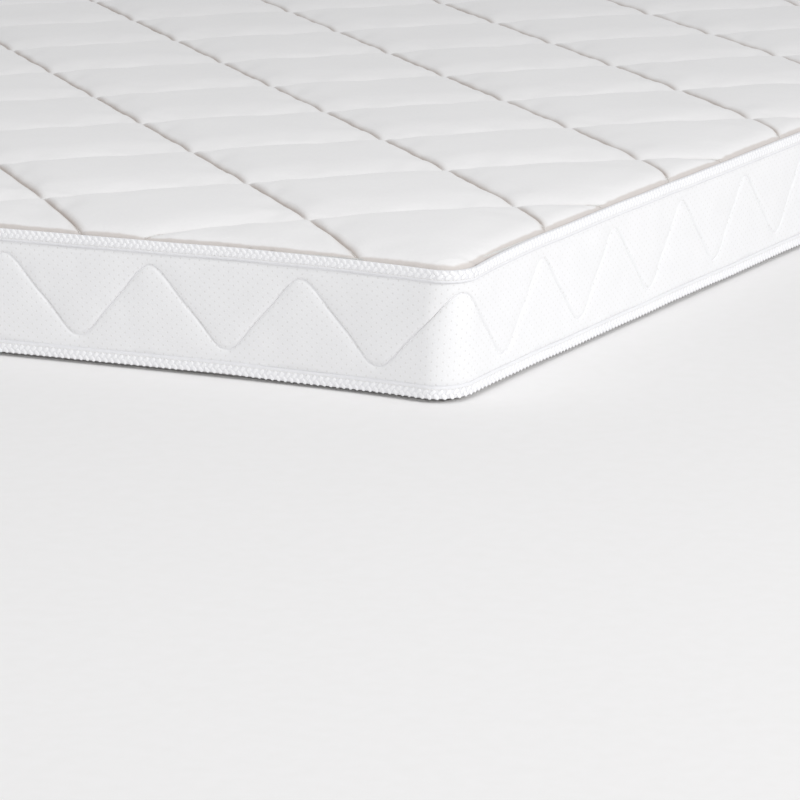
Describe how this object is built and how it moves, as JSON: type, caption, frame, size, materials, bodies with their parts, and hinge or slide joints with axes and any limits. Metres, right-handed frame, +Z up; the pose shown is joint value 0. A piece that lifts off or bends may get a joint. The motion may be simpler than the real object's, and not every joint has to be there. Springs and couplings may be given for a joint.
{
  "type": "memory foam mattress",
  "caption": "Double memory foam mattress with a diamond-quilted top, a wave-quilted border and woven edge tapes.",
  "frame": {"origin": "centre of the underside, on the surface the mattress lies on", "axes": "+X across the width to the right-hand side, +Y along the length to the head end, +Z up"},
  "size_m": [1.6, 2, 0.15],
  "materials": {
    "support_foam": "open-cell polyurethane foam, matt",
    "glue": "dried water-based contact glue, matt",
    "memory_foam": "fine-celled visco foam, matt",
    "sock_jersey": "thin plain jersey, matt",
    "sewing_thread": "spun polyester thread, matt",
    "base_knit": "plain warp knit, matt",
    "border_knit": "dotted double knit, matt",
    "wadding": "loose polyester fibre, matt",
    "backing_fleece": "spunbonded nonwoven, matt",
    "top_knit": "smooth double knit, matt",
    "edge_tape": "woven herringbone tape, slight sheen"
  },
  "bodies": {
    "root": {"support_foam": "support_foam", "foam_glue_film": "glue", "memory_foam": "memory_foam", "core_sock": "sock_jersey", "sock_end_stitching": "sewing_thread", "bottom_ticking": "base_knit", "border_ticking": "border_knit", "border_wadding": "wadding", "border_backing": "backing_fleece", "border_quilting_thread": "sewing_thread", "border_join_stitching": "sewing_thread", "top_ticking": "top_knit", "top_wadding": "wadding", "top_backing": "backing_fleece", "lower_diamond_stitching": "sewing_thread", "upper_diamond_stitching": "sewing_thread", "top_edge_tape": "edge_tape", "bottom_edge_tape": "edge_tape", "top_tape_stitching": "sewing_thread", "bottom_tape_stitching": "sewing_thread"}
  },
  "joints": []
}
